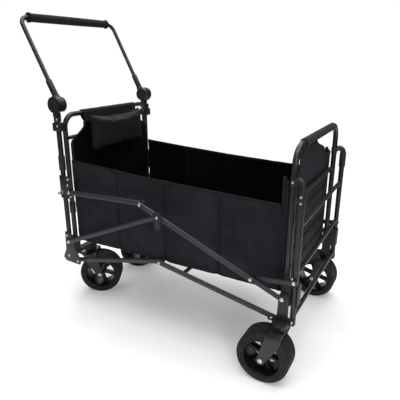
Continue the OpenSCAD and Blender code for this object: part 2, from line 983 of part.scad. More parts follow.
module tyre_rear_left() {
    color("#1a1a1a")
        at_caster(stem_rear_x, rear_stem_y, rear_turn)
            tyre();
}

module brake_pedal_right() {
    color("#9c1f2e")
        at_caster(stem_rear_x, -rear_stem_y, rear_turn)
            brake_pedal();
}

module brake_pedal_left() {
    color("#9c1f2e")
        at_caster(stem_rear_x, rear_stem_y, rear_turn)
            brake_pedal();
}

// ---- fabric ----

module basket_sides() {
    side = [[wall_rear_x + cloth_t + 1, floor_z], [corner_x - 1, floor_z],
        [corner_x - 1, hem_front_z], [wall_rear_x + cloth_t + 1, hem_rear_z]];
    color("#1a1b24")
        both_sides()
            side_plate(side, wall_y, cloth_t, []);
}

module basket_floor() {
    color("#121215")
        translate([wall_rear_x + cloth_t + 1, -wall_y + 1, floor_z])
            cube([wall_front_x - wall_rear_x - cloth_t - 2, 2 * wall_y - 2, cloth_t + 1]);
}

module basket_rear_wall() {
    color("#121215")
        translate([wall_rear_x, -wall_y + 4, floor_z])
            cube([cloth_t, 2 * wall_y - 8, corner_z - floor_z]);
}

module basket_front_wall() {
    gusset = [[corner_x, floor_z], [wall_front_x + cloth_t, floor_z],
        [wall_front_x + cloth_t, corner_z - 6], [corner_x, corner_z]];
    // Front wall with a side gusset at each corner
    color("#15161b") {
        translate([wall_front_x, -wall_y, floor_z])
            cube([cloth_t, 2 * wall_y, front_wall_z - floor_z]);
        both_sides()
            side_plate(gusset, wall_y, cloth_t, []);
    }
}

module rear_panel() {
    half_w = 166;
    low_z = corner_z + 2;
    // Cloth panel under the top bar, with the sleeve that goes over the bar
    color("#17181d") {
        translate([wall_rear_x, -half_w, low_z])
            cube([cloth_t, 2 * half_w, rear_top_z - low_z]);
        y_ring(rear_x, rear_top_z, -half_w, half_w, tube_r + 3.5, tube_r);
    }
}

module rear_pad() {
    pad_x0 = wall_rear_x + cloth_t + 0.5;
    half_w = 174;
    low_z = 624;
    // Soft pillow that hangs inside the rear panel
    color("#17181d")
        translate([pad_x0, -half_w, low_z])
            cube([52, 2 * half_w, rear_top_z - low_z]);
}

module front_flap() {
    half_w = 175;
    low_z = front_wall_z + 1;
    // Cloth flap that hangs from the front bar, above the front wall
    color("#1a1b24")
        translate([wall_front_x, -half_w, low_z])
            cube([cloth_t, 2 * half_w, front_top_z - tube_r - 5 - low_z]);
}

module front_bar_sleeve() {
    sleeve_half = 186;
    color("#1c1c20")
        y_ring(front_x, front_top_z, -sleeve_half, sleeve_half, tube_r + 4, tube_r);
}

rear_inner_frame();
rear_crossbar();
rear_outer_tubes();
rear_lower_beam();
rear_side_plates();
rear_rivets();
hub_bases();
hub_brackets();
tube_sleeves();
rear_lower_blocks();
rear_caster_housings();
link_pins_rear();
lock_knob_right();
lock_knob_left();
handle_hubs();
handle_sleeves();
handle_tube();
handle_grip();
snap_button_right();
snap_button_left();
front_inner_frame();
front_crossbars();
front_outer_tubes();
front_hooks();
front_side_plates();
front_lower_blocks();
front_stays();
front_rivets();
front_caster_housings();
link_pins_front();
rear_links();
middle_hubs();
long_links();
link_tails();
upper_links();
upper_link_caps();
rear_rails();
front_rails();
fork_front_right();
wheel_front_right();
tyre_front_right();
fork_front_left();
wheel_front_left();
tyre_front_left();
fork_rear_right();
wheel_rear_right();
tyre_rear_right();
brake_pedal_right();
fork_rear_left();
wheel_rear_left();
tyre_rear_left();
brake_pedal_left();
basket_sides();
basket_floor();
basket_rear_wall();
basket_front_wall();
rear_panel();
rear_pad();
front_flap();
front_bar_sleeve();
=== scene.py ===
"""Looks of a folding wagon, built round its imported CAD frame. Metres; +X front, -Y right, +Z up."""
import json
import math

import bmesh
import bpy
from mathutils import Matrix, Vector, noise
from mathutils.bvhtree import BVHTree


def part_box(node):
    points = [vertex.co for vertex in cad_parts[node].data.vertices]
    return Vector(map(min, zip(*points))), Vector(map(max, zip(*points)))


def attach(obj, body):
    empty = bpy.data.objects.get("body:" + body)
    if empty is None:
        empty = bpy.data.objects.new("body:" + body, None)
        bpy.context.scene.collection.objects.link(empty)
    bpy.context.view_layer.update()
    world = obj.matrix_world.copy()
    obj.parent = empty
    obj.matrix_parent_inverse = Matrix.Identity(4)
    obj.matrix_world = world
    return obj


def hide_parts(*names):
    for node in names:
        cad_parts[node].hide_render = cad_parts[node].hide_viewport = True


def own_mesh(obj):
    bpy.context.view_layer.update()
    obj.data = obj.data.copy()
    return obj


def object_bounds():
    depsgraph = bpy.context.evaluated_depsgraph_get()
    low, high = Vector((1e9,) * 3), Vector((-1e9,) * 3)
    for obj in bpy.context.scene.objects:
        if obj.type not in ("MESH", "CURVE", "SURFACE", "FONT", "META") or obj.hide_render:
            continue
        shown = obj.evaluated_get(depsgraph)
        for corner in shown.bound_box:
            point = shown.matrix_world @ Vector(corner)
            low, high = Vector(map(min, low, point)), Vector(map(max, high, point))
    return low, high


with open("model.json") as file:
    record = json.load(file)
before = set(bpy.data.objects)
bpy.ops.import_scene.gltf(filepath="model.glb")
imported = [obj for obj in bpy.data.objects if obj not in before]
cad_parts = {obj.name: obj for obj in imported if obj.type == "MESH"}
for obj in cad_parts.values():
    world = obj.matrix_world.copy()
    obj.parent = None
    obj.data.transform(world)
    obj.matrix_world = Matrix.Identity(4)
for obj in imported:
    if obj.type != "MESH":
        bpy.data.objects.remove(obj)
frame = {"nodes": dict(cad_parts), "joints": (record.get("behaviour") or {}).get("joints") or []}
CAD_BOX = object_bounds()
NODES = frame["nodes"]
JOINTS = {joint["name"]: joint for joint in frame["joints"]}
MM = 0.001
RIGHT, LEFT = -1, 1

# ---- camera, floor and lights ----

CAMERA_AT = (0.862, -1.439, 0.998)
CAMERA_TURN = (math.radians(71.64), 0.0, math.radians(28.95))
LENS_MM = 39.05
SENSOR_MM = 36.0
ROOM_LIGHT = 0.13
FLOOR_GLOW = 0.2


def make_camera():
    data = bpy.data.cameras.new("camera")
    data.lens = LENS_MM
    data.sensor_width = SENSOR_MM
    data.clip_start = 0.05
    data.clip_end = 60
    camera = bpy.data.objects.new("camera", data)
    camera.location = CAMERA_AT
    camera.rotation_euler = CAMERA_TURN
    bpy.context.scene.collection.objects.link(camera)
    bpy.context.scene.camera = camera


def area_light(name, at, towards, size, watts):
    data = bpy.data.lights.new(name, "AREA")
    data.shape = "RECTANGLE"
    data.size, data.size_y = size
    data.energy = watts
    light = bpy.data.objects.new(name, data)
    light.location = at
    aim = Vector(towards) - Vector(at)
    light.rotation_euler = aim.to_track_quat("-Z", "Y").to_euler()
    bpy.context.scene.collection.objects.link(light)


def make_stage():
    world = bpy.data.worlds.new("studio")
    world.use_nodes = True
    nodes, links = world.node_tree.nodes, world.node_tree.links
    nodes["Background"].inputs["Color"].default_value = (1.0, 1.0, 1.0, 1.0)
    # The camera sees a white backdrop; the wagon's paint mirrors a dimmer room
    rays = nodes.new("ShaderNodeLightPath")
    strength = nodes.new("ShaderNodeMapRange")
    strength.inputs["To Min"].default_value = ROOM_LIGHT
    strength.inputs["To Max"].default_value = 1.0
    links.new(rays.outputs["Is Camera Ray"], strength.inputs["Value"])
    links.new(strength.outputs["Result"], nodes["Background"].inputs["Strength"])
    bpy.context.scene.world = world
    floor_mesh = bpy.data.meshes.new("floor")
    reach = 30.0
    floor_mesh.from_pydata([(-reach, -reach, 0), (reach, -reach, 0), (reach, reach, 0), (-reach, reach, 0)],
                           [], [(0, 1, 2, 3)])
    floor = bpy.data.objects.new("floor", floor_mesh)
    floor.location.z = CAD_BOX[0].z - 0.0005
    floor_mesh.materials.append(floor_pale())
    bpy.context.scene.collection.objects.link(floor)
    area_light("overhead", (0.2, 0.1, 3.6), (0.0, 0.0, 0.0), (5.0, 5.0), 200)
    area_light("key", (2.1, -2.3, 1.5), (0.2, -0.1, 0.45), (0.5, 1.6), 24)
    area_light("side", (-1.3, -2.9, 1.3), (0.0, 0.0, 0.45), (0.4, 1.6), 6)
    area_light("back", (-1.4, 2.4, 2.0), (0.0, 0.0, 0.5), (1.6, 0.8), 22)


# ---- procedural materials ----


class Shade:
    """One procedural material; its patterns are measured in the wagon's own metres."""

    def __init__(self, name, metallic=0.0, coat=0.0, sheen=0.0, specular=0.5):
        self.material = bpy.data.materials.new(name)
        self.material.use_nodes = True
        self.tree = self.material.node_tree
        self.shader = self.tree.nodes["Principled BSDF"]
        self.shader.inputs["Metallic"].default_value = metallic
        self.shader.inputs["Coat Weight"].default_value = coat
        self.shader.inputs["Coat Roughness"].default_value = 0.25
        self.shader.inputs["Sheen Weight"].default_value = sheen
        self.shader.inputs["Sheen Roughness"].default_value = 0.45
        self.shader.inputs["Specular IOR Level"].default_value = specular
        self.coords = self.tree.nodes.new("ShaderNodeTexCoord").outputs["Object"]
        self.normal = None

    def add(self, kind, **inputs):
        node = self.tree.nodes.new(kind)
        for key, value in inputs.items():
            socket = node.inputs[key.replace("_", " ")]
            if isinstance(value, bpy.types.NodeSocket):
                self.tree.links.new(value, socket)
            else:
                socket.default_value = value
        return node

    def math(self, operation, a, b=0.0):
        node = self.tree.nodes.new("ShaderNodeMath")
        node.operation = operation
        for socket, value in zip(node.inputs, (a, b)):
            if isinstance(value, bpy.types.NodeSocket):
                self.tree.links.new(value, socket)
            else:
                socket.default_value = value
        return node.outputs[0]

    def noise(self, scale, detail=3.0, stretch=None):
        vector = self.coords
        if stretch:
            mapping = self.add("ShaderNodeMapping", Vector=self.coords, Scale=stretch)
            vector = mapping.outputs["Vector"]
        return self.add("ShaderNodeTexNoise", Vector=vector, Scale=scale, Detail=detail).outputs["Fac"]

    def cells(self, scale):
        return self.add("ShaderNodeTexVoronoi", Vector=self.coords, Scale=scale).outputs["Distance"]

    def spread(self, fac, low, high, start=0.3, end=0.7):
        node = self.add("ShaderNodeMapRange", Value=fac, From_Min=start, From_Max=end,
                        To_Min=low, To_Max=high)
        return node.outputs["Result"]

    def weave(self, pitch):
        """Over-and-under threads along every axis, one thread every pitch metres."""
        parts = self.add("ShaderNodeSeparateXYZ", Vector=self.coords)
        turns = 2 * math.pi / pitch
        waves = [self.math("SINE", self.math("MULTIPLY", axis, turns)) for axis in parts.outputs]
        crossed = [self.math("MULTIPLY", waves[i], waves[(i + 1) % 3]) for i in range(3)]
        return self.math("ADD", self.math("ADD", crossed[0], crossed[1]), crossed[2])

    def colour(self, dark, light, fac, start=0.3, end=0.7):
        mix = self.tree.nodes.new("ShaderNodeMix")
        mix.data_type = "RGBA"
        self.tree.links.new(self.spread(fac, 0.0, 1.0, start, end), mix.inputs[0])
        mix.inputs[6].default_value = (*dark, 1.0)
        mix.inputs[7].default_value = (*light, 1.0)
        self.tree.links.new(mix.outputs[2], self.shader.inputs["Base Color"])

    def rough(self, low, high, fac):
        self.tree.links.new(self.spread(fac, low, high), self.shader.inputs["Roughness"])

    def bump(self, height, strength, depth):
        node = self.add("ShaderNodeBump", Strength=strength, Distance=depth, Height=height)
        if self.normal:
            self.tree.links.new(self.normal, node.inputs["Normal"])
        self.normal = node.outputs["Normal"]
        self.tree.links.new(self.normal, self.shader.inputs["Normal"])


def floor_pale():
    """Pale floor that fades into the white backdrop far from the wagon."""
    shade = Shade("floor_pale", specular=0.1)
    tree = shade.tree
    distance = tree.nodes.new("ShaderNodeVectorMath")
    distance.operation = "LENGTH"
    tree.links.new(shade.coords, distance.inputs[0])
    far = shade.spread(distance.outputs["Value"], 0.0, 1.0, 1.0, 2.8)
    shade.colour((0.93, 0.93, 0.93), (0.95, 0.95, 0.95), shade.noise(3.0))
    near_colour = shade.shader.inputs["Base Color"].links[0].from_socket
    faded = tree.nodes.new("ShaderNodeMix")
    faded.data_type = "RGBA"
    tree.links.new(far, faded.inputs[0])
    tree.links.new(near_colour, faded.inputs[6])
    faded.inputs[7].default_value = (0.0, 0.0, 0.0, 1.0)
    tree.links.new(faded.outputs[2], shade.shader.inputs["Base Color"])
    seen = tree.nodes.new("ShaderNodeLightPath").outputs["Is Camera Ray"]
    shade.shader.inputs["Emission Color"].default_value = (1.0, 1.0, 1.0, 1.0)
    glow = shade.spread(far, FLOOR_GLOW, 1.0, 0.0, 1.0)
    tree.links.new(shade.math("MULTIPLY", glow, seen), shade.shader.inputs["Emission Strength"])
    shade.rough(0.85, 0.95, shade.noise(12.0))
    return shade.material


def powder_coat(name, dark, light, rough_low=0.3, rough_high=0.46):
    """Satin paint with a faint orange-peel skin."""
    shade = Shade(name, coat=0.15, specular=0.5)
    shade.colour(dark, light, shade.noise(14.0))
    shade.rough(rough_low, rough_high, shade.noise(40.0))
    shade.bump(shade.noise(900.0, 2.0), 0.12, 0.0003)
    return shade.material


def zinc_steel():
    shade = Shade("zinc_steel", metallic=1.0)
    shade.colour((0.55, 0.56, 0.59), (0.8, 0.8, 0.82), shade.noise(220.0))
    shade.rough(0.18, 0.36, shade.noise(160.0, 3.0, (1, 1, 6)))
    shade.bump(shade.noise(700.0, 2.0), 0.08, 0.0002)
    return shade.material


def moulded_plastic(name, dark, light, grain=1500.0, rough_low=0.42, rough_high=0.6):
    """Spark-eroded mould texture, with the odd scuff."""
    shade = Shade(name, specular=0.45)
    shade.colour(dark, light, shade.noise(30.0, 5.0))
    shade.rough(rough_low, rough_high, shade.noise(55.0, 4.0))
    shade.bump(shade.noise(grain, 2.0), 0.25, 0.0003)
    return shade.material


def tyre_rubber():
    shade = Shade("tyre_rubber", specular=0.35)
    shade.colour((0.009, 0.009, 0.009), (0.022, 0.022, 0.021), shade.noise(24.0, 6.0))
    shade.rough(0.62, 0.85, shade.noise(60.0, 4.0))
    shade.bump(shade.noise(850.0, 3.0), 0.3, 0.0005)
    return shade.material


def foam():
    shade = Shade("grip_foam", specular=0.25, sheen=0.05)
    cell = shade.cells(650.0)
    shade.colour((0.006, 0.006, 0.006), (0.016, 0.016, 0.017), shade.noise(45.0, 4.0))
    shade.rough(0.78, 0.95, shade.noise(80.0))
    shade.bump(cell, 0.6, 0.0006)
    return shade.material


def oxford_cloth(name, dark, light, pitch=0.0019, sheen=0.02, specular=0.22):
    """Coated oxford weave with faint streaks along the threads and soft creasing."""
    shade = Shade(name, sheen=sheen, specular=specular)
    threads = shade.weave(pitch)
    shade.colour(dark, light, shade.math("ADD", shade.noise(9.0, 5.0), shade.math("MULTIPLY", threads, 0.08)))
    shade.rough(0.62, 0.84, shade.noise(26.0, 4.0))
    shade.bump(shade.noise(38.0, 4.0), 0.22, 0.0022)
    shade.bump(threads, 0.35, 0.0003)
    return shade.material


RIB_PITCH = 0.0016


def webbing(name, dark, light):
    """Ribbed binding tape."""
    shade = Shade(name, sheen=0.03, specular=0.22)
    parts = shade.add("ShaderNodeSeparateXYZ", Vector=shade.coords)
    along = shade.math("ADD", parts.outputs[0], shade.math("MULTIPLY", parts.outputs[2], 0.6))
    slanted = shade.math("ADD", along, parts.outputs[1])
    ribs = shade.math("SINE", shade.math("MULTIPLY", slanted, 2 * math.pi / RIB_PITCH))
    shade.colour(dark, light, shade.noise(60.0, 4.0))
    shade.rough(0.6, 0.8, shade.noise(90.0))
    shade.bump(ribs, 0.4, 0.0004)
    return shade.material


def glossy_plastic(name, dark, light):
    shade = Shade(name, coat=0.3, specular=0.5)
    shade.colour(dark, light, shade.noise(50.0, 4.0))
    shade.rough(0.28, 0.45, shade.noise(90.0))
    shade.bump(shade.noise(300.0, 2.0), 0.08, 0.0003)
    return shade.material


FRAME_PAINT = powder_coat("frame_paint", (0.008, 0.008, 0.011), (0.014, 0.014, 0.02))
LINK_PAINT = powder_coat("link_paint", (0.015, 0.015, 0.023), (0.026, 0.026, 0.04), 0.34, 0.5)
PLATE_PAINT = powder_coat("plate_paint", (0.01, 0.01, 0.013), (0.018, 0.018, 0.023), 0.36, 0.52)
FORK_PAINT = powder_coat("fork_paint", (0.011, 0.011, 0.015), (0.019, 0.019, 0.027), 0.32, 0.48)
ZINC = zinc_steel()
BLACK_PLASTIC = moulded_plastic("black_plastic", (0.008, 0.008, 0.009), (0.016, 0.016, 0.018))
RIM_PLASTIC = moulded_plastic("rim_plastic", (0.002, 0.002, 0.0023), (0.005, 0.005, 0.0056),
                              grain=1100.0, rough_low=0.34, rough_high=0.5)
TYRE = tyre_rubber()
FOAM = foam()
BRAKE_RED = glossy_plastic("brake_red", (0.25, 0.012, 0.03), (0.4, 0.025, 0.05))
OUTER_CLOTH = oxford_cloth("outer_cloth", (0.0085, 0.0085, 0.0125), (0.0165, 0.0165, 0.024))
BLACK_CLOTH = oxford_cloth("black_cloth", (0.005, 0.005, 0.0055), (0.0095, 0.0095, 0.0105))
INNER_CLOTH = oxford_cloth("inner_cloth", (0.0012, 0.0012, 0.0013), (0.003, 0.003, 0.0033),
                           sheen=0.0, specular=0.08)
BINDING = webbing("binding", (0.004, 0.004, 0.0045), (0.011, 0.011, 0.012))
THREAD = webbing("thread", (0.014, 0.014, 0.017), (0.026, 0.026, 0.03))

# ---- CAD nodes that stay: material, softened edges and smooth shading ----

# Material, width of the softened edge, nodes
KEPT = [
    (FRAME_PAINT, 0.0, ["rear_inner_frame", "rear_crossbar", "rear_outer_tubes", "handle_tube",
                        "front_inner_frame", "front_crossbars", "front_outer_tubes"]),
    (LINK_PAINT, 0.0, ["rear_links", "long_links", "upper_links", "rear_rails", "front_rails"]),
    (PLATE_PAINT, 0.0007, ["rear_side_plates", "front_side_plates", "front_stays", "link_tails",
                           "rear_lower_beam"]),
    (FORK_PAINT, 0.0009, ["fork_front_right", "fork_front_left", "fork_rear_right", "fork_rear_left"]),
    (ZINC, 0.0, ["rear_rivets", "front_rivets", "link_pins_rear", "link_pins_front", "lock_knob_right",
                 "lock_knob_left", "snap_button_right", "snap_button_left"]),
    (BLACK_PLASTIC, 0.0009, ["hub_bases", "hub_brackets", "tube_sleeves", "rear_lower_blocks",
                             "front_lower_blocks", "rear_caster_housings", "front_caster_housings",
                             "handle_hubs", "handle_sleeves", "front_hooks", "middle_hubs",
                             "upper_link_caps"]),
    (BRAKE_RED, 0.0012, ["brake_pedal_right", "brake_pedal_left"]),
]
SMOOTH_BELOW = math.radians(32)


def smooth_group():
    """Geometry nodes that shade smooth, except at edges sharper than SMOOTH_BELOW."""
    group = bpy.data.node_groups.new("smooth_by_angle", "GeometryNodeTree")
    group.interface.new_socket("Geometry", in_out="INPUT", socket_type="NodeSocketGeometry")
    group.interface.new_socket("Geometry", in_out="OUTPUT", socket_type="NodeSocketGeometry")
    enter = group.nodes.new("NodeGroupInput")
    leave = group.nodes.new("NodeGroupOutput")
    faces = group.nodes.new("GeometryNodeSetShadeSmooth")
    edges = group.nodes.new("GeometryNodeSetShadeSmooth")
    edges.domain = "EDGE"
    edges.inputs["Shade Smooth"].default_value = False
    angle = group.nodes.new("GeometryNodeInputMeshEdgeAngle")
    sharp = group.nodes.new("FunctionNodeCompare")
    sharp.data_type = "FLOAT"
    sharp.operation = "GREATER_THAN"
    sharp.inputs[1].default_value = SMOOTH_BELOW
    link = group.links.new
    link(enter.outputs[0], faces.inputs["Geometry"])
    link(faces.outputs[0], edges.inputs["Geometry"])
    link(angle.outputs["Unsigned Angle"], sharp.inputs[0])
    link(sharp.outputs[0], edges.inputs["Selection"])
    link(edges.outputs[0], leave.inputs[0])
    return group


SMOOTH = smooth_group()


def smooth(obj):
    obj.modifiers.new("smooth_by_angle", "NODES").node_group = SMOOTH


def dress(node, material, bevel):
    """Gives a CAD node its material and, through modifiers only, its edges and shading."""
    obj = NODES[node]
    obj.data.materials.clear()
    obj.data.materials.append(material)
    own_normals = obj.data.attributes.get("custom_normal")
    if own_normals:
        obj.data.attributes.remove(own_normals)
    weld = obj.modifiers.new("weld", "WELD")
    weld.merge_threshold = 0.00001
    if bevel:
        soften = obj.modifiers.new("soften", "BEVEL")
        soften.width = bevel
        soften.segments = 2
        soften.limit_method = "ANGLE"
        soften.angle_limit = math.radians(40)
    smooth(obj)


for kept_material, kept_bevel, kept_nodes in KEPT:
    for kept_node in kept_nodes:
        dress(kept_node, kept_material, kept_bevel)

# ---- mesh helpers ----


def piece(name, points, faces, *materials):
    mesh = bpy.data.meshes.new(name)
    mesh.from_pydata([tuple(p) for p in points], [], faces)
    for material in materials:
        mesh.materials.append(material)
    mesh.validate()
    mesh.shade_smooth()
    obj = bpy.data.objects.new(name, mesh)
    bpy.context.scene.collection.objects.link(obj)
    return obj


def grid_faces(rows, columns, wrap_rows=False, wrap_columns=False):
    """Quads between rows x columns points; either direction may close on itself."""
    return [(r * columns + c, r * columns + (c + 1) % columns,
             (r + 1) % rows * columns + (c + 1) % columns, (r + 1) % rows * columns + c)
            for r in range(rows if wrap_rows else rows - 1)
            for c in range(columns if wrap_columns else columns - 1)]


def face_outwards(obj):
    work = bmesh.new()
    work.from_mesh(obj.data)
    bmesh.ops.recalc_face_normals(work, faces=work.faces)
    work.to_mesh(obj.data)
    work.free()


def cloth(name, rows, columns, place, outer, inner, thickness=1.6 * MM):
    """A sheet through place(u, v); u runs along the columns and v along the rows, from 0 to 1.
    Its faces' front is the outer cloth and its back is the inner cloth."""
    points = [place(c / (columns - 1), r / (rows - 1)) for r in range(rows) for c in range(columns)]
    obj = piece(name, points, grid_faces(rows, columns), outer, inner)
    solid = obj.modifiers.new("thickness", "SOLIDIFY")
    solid.thickness = thickness
    solid.offset = 0.0
    solid.material_offset = 1
    solid.material_offset_rim = 0
    return obj


def lathe(name, profile, centre, axis, segments, material):
    """Closed profile of (radius, distance along axis) turned about axis at centre."""
    axis = Vector(axis).normalized()
    side = axis.orthogonal().normalized()
    up = axis.cross(side)
    points = []
    for i in range(segments):
        angle = 2 * math.pi * i / segments
        spoke = side * math.cos(angle) + up * math.sin(angle)
        points += [Vector(centre) + spoke * radius + axis * along for radius, along in profile]
    obj = piece(name, points, grid_faces(segments, len(profile), True, True), material)
    face_outwards(obj)
    return obj


def sweep(name, path, outwards, upwards, profile, material):
    """Closed profile of (out, up) carried along path; outwards and upwards give its axes at each point."""
    points = []
    for at, out, up in zip(path, outwards, upwards):
        points += [at + out * a + up * b for a, b in profile]
    count = len(profile)
    faces = grid_faces(len(path), count, False, True)
    faces += [tuple(range(count)), tuple(range((len(path) - 1) * count, len(path) * count))]
    obj = piece(name, points, faces, material)
    face_outwards(obj)
    return obj


def binding_profile(width, half):
    """U of tape folded over an edge: half is half its thickness outside, cloth included."""
    inside = half * 0.55
    over = [(half * math.cos(a), half * math.sin(a)) for a in (math.pi * i / 6 for i in range(7))]
    under = [(inside * math.cos(a), inside * math.sin(a)) for a in (math.pi * (6 - i) / 6 for i in range(7))]
    return [(half, -width)] + over + [(-half, -width), (-inside, -width)] + under + [(inside, -width)]


def round_cord(name, path, radius, material, sides=8, closed=False):
    """Round cord along path, such as a piping."""
    count = len(path)
    points = []
    for i, at in enumerate(path):
        before = path[i - 1] if i or closed else path[0]
        after = path[(i + 1) % count] if i < count - 1 or closed else path[-1]
        along = (after - before).normalized()
        if abs(along.x) > 0.99:
            side = along.orthogonal().normalized()
        else:
            side = along.cross(Vector((1, 0, 0))).normalized()
        up = along.cross(side)
        points += [at + side * radius * math.cos(a) + up * radius * math.sin(a)
                   for a in (2 * math.pi * k / sides for k in range(sides))]
    faces = grid_faces(count, sides, closed, True)
    if not closed:
        faces += [tuple(range(sides)), tuple(range((count - 1) * sides, count * sides))]
    obj = piece(name, points, faces, material)
    face_outwards(obj)
    return obj


STITCH = 3.0 * MM
STITCH_GAP = 1.5 * MM
STITCH_R = 0.4 * MM


def stitches(name, rows):
    """Thread stitches along each row; a row is a list of points on the cloth's surface."""
    points, faces = [], []
    for row in rows:
        lengths = [(b - a).length for a, b in zip(row, row[1:])]
        total = sum(lengths)
        start = 0.0
        while start + STITCH < total:
            ends = [point_along(row, lengths, start), point_along(row, lengths, start + STITCH)]
            along = (ends[1] - ends[0]).normalized()
            side = along.orthogonal().normalized()
            up = along.cross(side)
            first = len(points)
            middle = (ends[0] + ends[1]) / 2
            points.append(ends[0])
            points += [middle + (side * math.cos(a) + up * math.sin(a)) * STITCH_R
                       for a in (math.pi * k / 2 for k in range(4))]
            points.append(ends[1])
            for k in range(4):
                near, far = first + 1 + k, first + 1 + (k + 1) % 4
                faces += [(first, far, near), (first + 5, near, far)]
            start += STITCH + STITCH_GAP
    obj = piece(name, points, faces, THREAD)
    face_outwards(obj)
    return obj


def point_along(row, lengths, distance):
    for a, b, length in zip(row, row[1:], lengths):
        if distance <= length:
            return a.lerp(b, distance / max(length, 1e-9))
        distance -= length
    return row[-1]


def ease(t):
    t = min(max(t, 0.0), 1.0)
    return t * t * (3 - 2 * t)


def ripple(x, y, z, scale):
    return noise.fractal(Vector((x, y, z)) * scale, 0.8, 2.0, 3)


def rests(obj, body, slot, *nodes):
    """Says which body obj rides on and the CAD nodes that it stands for; its slot argument is not used."""
    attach(obj, body)
    if nodes:
        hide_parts(*nodes)


# ---- pivots of the folding linkage and the side cloth's extent; each cloth piece gets its own mesh copy ----

REAR_PIVOT, MID_PIVOT, FRONT_PIVOT = (
    Vector(JOINTS[name]["pos_m"]) for name in ("fold", "long_link_swing", "front_frame_swing"))
LINK_RISE = math.atan2(MID_PIVOT.z - REAR_PIVOT.z, MID_PIVOT.x - REAR_PIVOT.x)
SIDES_LOW, SIDES_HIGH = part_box("basket_sides")


def closes_up(obj):
    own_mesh(obj)


# ---- basket side walls ----

HALF_CAD_CLOTH = 1.5 * MM
SIDE_Y = SIDES_HIGH.y - HALF_CAD_CLOTH
SIDE_LENGTH = SIDES_HIGH.x - SIDES_LOW.x
HEM_REAR = SIDES_HIGH.z
HEM_FRONT = HEM_REAR - 40 * MM
PANELS = 4
PANEL_CROWN = 6.0 * MM
SEAM_DEPTH = 6.5 * MM
SEAM_WIDTH = 9.0 * MM
BOTTOM_CLEAR = 24 * MM
HEM_SAG = 6 * MM
# Half width of the darker strip painted along each seam groove as shade
SEAM_SHADE_HALF = 4.5 * MM
SEAM_STITCHES = 9 * MM
FAN_FOOT = 12 * MM
FAN_DEPTH = 4.2 * MM
MIDDLE_X = (SIDES_LOW.x + SIDES_HIGH.x) / 2


def side_offset(x, z, v, side):
    """How far a side wall stands out from its plane."""
    along = (x - SIDES_LOW.x) / SIDE_LENGTH * PANELS
    nearest = round(along)
    within = 2 * (along - math.floor(along)) - 1
    out = PANEL_CROWN * (1 - abs(within) ** 3) * (1 - abs(2 * v - 1) ** 5)
    if 0 < nearest < PANELS:
        seam = abs(along - nearest) * SIDE_LENGTH / PANELS
        out -= SEAM_DEPTH * math.exp(-(seam / SEAM_WIDTH) ** 2) * (1 - 0.4 * ease((v - 0.85) / 0.15))
    # Creases that fan up from the bottom of the middle seam
    dx, dz = x - MIDDLE_X, z - SIDES_LOW.z + FAN_FOOT
    reach = math.hypot(dx, dz)
    fan = ease((reach - 0.02) / 0.05) * (1 - ease((reach - 0.1) / 0.13))
    out += FAN_DEPTH * fan * math.sin(9 * math.atan2(dz, dx) + 0.7 * side)
    out += 2.2 * MM * ripple(x, side, z, 6.5) + 0.7 * MM * ripple(x * 0.6, side, z, 26.0)
    # Near its foot the cloth stays close to its plane
    lift = z - SIDES_LOW.z
    most = 1.0 * MM + 30 * MM * ease((lift - BOTTOM_CLEAR) / (3 * BOTTOM_CLEAR))
    return min(out, most)


def side_point(side, u, v, lift=0.0):
    x = SIDES_LOW.x + u * SIDE_LENGTH
    top = HEM_REAR + (HEM_FRONT - HEM_REAR) * u - 4 * HEM_SAG * u * (1 - u)
    z = SIDES_LOW.z + v * (top - SIDES_LOW.z)
    return Vector((x, side * (SIDE_Y + side_offset(x, z, v, side) + lift), z))


def side_wall(side, label):
    """One long side with its hems and seams."""

    def place(u, v):
        # The left wall runs the other way, so that its outer cloth faces out too
        return side_point(side, u if side == RIGHT else 1 - u, v)

    wall = cloth("side_wall_" + label, 64, 201, place, OUTER_CLOTH, INNER_CLOTH)
    wall.data.materials.append(BINDING)
    wall.data.materials.append(INNER_CLOTH)
    # Faces along the middle of each seam groove take the darker binding cloth: painted shade in the groove
    for face in wall.data.polygons:
        along = (face.center.x - SIDES_LOW.x) / SIDE_LENGTH * PANELS
        if 0 < round(along) < PANELS and abs(along - round(along)) * SIDE_LENGTH / PANELS < SEAM_SHADE_HALF:
            face.material_index = 2
    steps = 140
    edge = [side_point(side, i / steps, 1.0) for i in range(steps + 1)]
    out = [Vector((0, side, 0))] * len(edge)
    up = [Vector((0, 0, 1))] * len(edge)
    hem = sweep("side_hem_" + label, edge, out, up, binding_profile(13 * MM, 1.9 * MM), BINDING)
    foot = [side_point(side, i / steps, 0.0) + Vector((0, 0, 1 * MM)) for i in range(steps + 1)]
    under = [Vector((0, 0, -1))] * len(foot)
    lower_hem = sweep("side_foot_" + label, foot, out, under, binding_profile(9 * MM, 1.5 * MM), BINDING)
    rows = [[at + Vector((0, side * 1.9 * MM, -10 * MM)) for at in edge]]
    for seam in range(1, PANELS):
        for offset in (-SEAM_STITCHES, SEAM_STITCHES):
            u = seam / PANELS + offset / SIDE_LENGTH
            rows.append([side_point(side, u, 0.06 + 0.88 * k / 60, 1.0 * MM) for k in range(61)])
    seams = stitches("side_stitches_" + label, rows)
    for obj, slot in ((wall, "outer_fabric"), (hem, "inner_fabric"), (lower_hem, "inner_fabric"),
                      (seams, "outer_fabric")):
        rests(obj, "root", slot)
        closes_up(obj)


# ---- basket floor ----

FLOOR_LOW, FLOOR_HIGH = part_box("basket_floor")
FLOOR_LENGTH = FLOOR_HIGH.x - FLOOR_LOW.x
FLOOR_WIDTH = FLOOR_HIGH.y - FLOOR_LOW.y
FLOOR_STITCHES = 10 * MM


